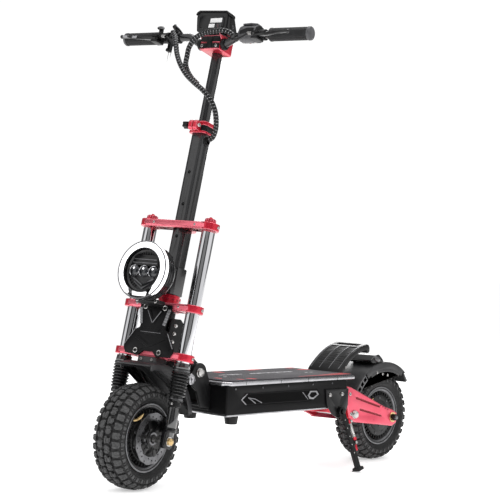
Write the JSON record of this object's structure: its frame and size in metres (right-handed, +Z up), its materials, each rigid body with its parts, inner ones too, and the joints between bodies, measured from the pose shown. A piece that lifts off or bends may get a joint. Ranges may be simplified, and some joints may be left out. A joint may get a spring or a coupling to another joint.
{
  "type": "electric kick scooter",
  "caption": "Folding electric kick scooter with a deck between hub-motor wheels, a triple-crown fork, a telescoping stem and a round headlight.",
  "frame": {"origin": "on the ground midway between the axles, on the mid-plane of the deck; the bottom centre of the overall box to within 5 mm, because the bars rest turned", "axes": "-Y forward, +X to the rider's left, +Z up; the bars rest turned 8.59 degrees to the left and the steering axis leans back 12.36 degrees"},
  "size_m": [0.6376, 1.315, 1.3187],
  "materials": {
    "alu_black": "satin black powder coat",
    "alu_bright": "bright cut aluminium",
    "anodised_red": "red anodised, brushed",
    "battery_wrap": "heat-shrink sleeve",
    "chrome_tube": "polished hard chrome",
    "gloss_black": "gloss black plastic",
    "grit": "coarse grit mat with red accents",
    "lamp_clear": "clear ribbed lens over a reflector",
    "lamp_white": "lit diffuser",
    "plastic_black": "textured black plastic",
    "rubber": "matt rubber",
    "spring_steel": "dark spring steel",
    "steel": "zinc plated steel",
    "tyre": "matt tread rubber"
  },
  "bodies": {
    "chassis": {"deck_tub": "alu_black", "deck_lid": "alu_bright", "grip_mat": "grit", "deck_base": "alu_bright", "side_panels": "plastic_black", "battery_pack": "battery_wrap", "motor_controllers": "alu_bright", "charge_port": "gloss_black", "hinge_cheeks": "alu_black", "pivot_bolts": "steel", "rubber_feet": "rubber", "rear_footrest": "plastic_black", "swing_mount": "anodised_red", "kickstand_bracket": "alu_black", "deck_screws": "steel", "rear_shock": "spring_steel"},
    "fold_latch": {"fold_latch": "alu_bright"},
    "kickstand": {"kickstand_leg": "alu_black", "kickstand_spring": "steel"},
    "neck": {"neck_frame": "alu_black", "neck_bolts": "steel", "head_bearings": "steel"},
    "steering": {"fork_crowns": "anodised_red", "fork_tubes": "chrome_tube", "fork_caps": "anodised_red", "fork_boots": "rubber", "fork_springs": "spring_steel", "steering_column": "alu_black", "stem_collars": "anodised_red", "front_plate": "gloss_black", "headlight_housing": "plastic_black", "headlight_optics": "lamp_white", "front_mudguard": "plastic_black"},
    "lock_knob": {"lock_knob": "plastic_black"},
    "fork_lowers": {"fork_legs": "alu_black", "front_axle": "steel", "front_caliper": "alu_black"},
    "front_wheel": {"front_hub": "alu_black", "front_tyre": "tyre", "front_disc": "steel"},
    "swingarm": {"swingarm": "anodised_red", "rear_axle": "steel", "rear_mudguard": "plastic_black", "rear_lamp": "lamp_clear"},
    "rear_wheel": {"rear_hub": "alu_black", "rear_tyre": "tyre"},
    "bars": {"inner_tube": "alu_black", "bar_clamp": "anodised_red", "handlebar": "alu_black", "grips": "rubber", "display": "gloss_black", "switch_block": "plastic_black", "throttle_body": "gloss_black", "brake_perches": "alu_black", "cable_looms": "rubber"},
    "horn_button": {"horn_button": "plastic_black"},
    "light_switch": {"light_switch": "plastic_black"},
    "throttle_paddle": {"throttle_paddle": "plastic_black"},
    "brake_lever_left": {"brake_lever_left": "alu_black"},
    "brake_lever_right": {"brake_lever_right": "alu_black"}
  },
  "joints": [
    {"name": "fold", "type": "hinge", "parent": "chassis", "child": "neck", "pos_m": [0, -0.342, 0.311], "axis": [-1, 0, 0], "range_deg": [0, 75]},
    {"name": "fold_latch_swing", "type": "hinge", "parent": "chassis", "child": "fold_latch", "pos_m": [0.0624, -0.378, 0.294], "axis": [1, 0, 0], "range_deg": [0, 50]},
    {"name": "kickstand_swing", "type": "hinge", "parent": "chassis", "child": "kickstand", "pos_m": [0.133, 0.197, 0.184], "axis": [1, 0, 0], "range_deg": [0, 80]},
    {"name": "steer", "type": "hinge", "parent": "neck", "child": "steering", "pos_m": [0, -0.43229, 0.42124], "axis": [0, 0.2141, 0.9768], "range_deg": [-43.6, 26.4]},
    {"name": "fork_travel", "type": "slide", "parent": "steering", "child": "fork_lowers", "axis": [0, 0.2141, 0.9768], "range_m": [-0.004, 0.03], "stiffness_N_per_m": 60000, "deforming": ["fork_boots", "fork_springs"]},
    {"name": "front_wheel_spin", "type": "hinge", "parent": "fork_lowers", "child": "front_wheel", "pos_m": [0.00317, -0.51485, 0.14245], "axis": [0.9888, 0.1459, -0.032], "continuous": true},
    {"name": "lock_knob_turn", "type": "hinge", "parent": "steering", "child": "lock_knob", "pos_m": [-0.01944, -0.35314, 0.99459], "axis": [0.9888, 0.1459, -0.032], "range_deg": [0, 180]},
    {"name": "stem_height", "type": "slide", "parent": "steering", "child": "bars", "axis": [0, 0.2141, 0.9768], "range_m": [-0.15, 0.03], "deforming": ["cable_looms"]},
    {"name": "horn_press", "type": "slide", "parent": "bars", "child": "horn_button", "axis": [0.1494, -0.9659, 0.2117], "range_m": [0, 0.002], "stiffness_N_per_m": 400},
    {"name": "light_rock", "type": "hinge", "parent": "bars", "child": "light_switch", "pos_m": [0.13347, -0.23622, 1.25254], "axis": [0.9888, 0.1459, -0.032], "range_deg": [-8, 8]},
    {"name": "throttle_press", "type": "hinge", "parent": "bars", "child": "throttle_paddle", "pos_m": [-0.15408, -0.30206, 1.25468], "axis": [-0.9888, -0.1459, 0.032], "range_deg": [0, 35], "stiffness_Nm_per_rad": 0.2},
    {"name": "brake_left", "type": "hinge", "parent": "bars", "child": "brake_lever_left", "pos_m": [0.1737, -0.29287, 1.23731], "axis": [0, 0.2141, 0.9768], "range_deg": [0, 12], "stiffness_Nm_per_rad": 1},
    {"name": "brake_right", "type": "hinge", "parent": "bars", "child": "brake_lever_right", "pos_m": [-0.16842, -0.34335, 1.24837], "axis": [0, -0.2141, -0.9768], "range_deg": [0, 12], "stiffness_Nm_per_rad": 1},
    {"name": "swingarm_travel", "type": "hinge", "parent": "chassis", "child": "swingarm", "pos_m": [0, 0.318, 0.162], "axis": [1, 0, 0], "range_deg": [-2, 6], "stiffness_Nm_per_rad": 1500, "deforming": ["rear_shock"]},
    {"name": "rear_wheel_spin", "type": "hinge", "parent": "swingarm", "child": "rear_wheel", "pos_m": [0, 0.515, 0.1425], "axis": [1, 0, 0], "continuous": true}
  ]
}
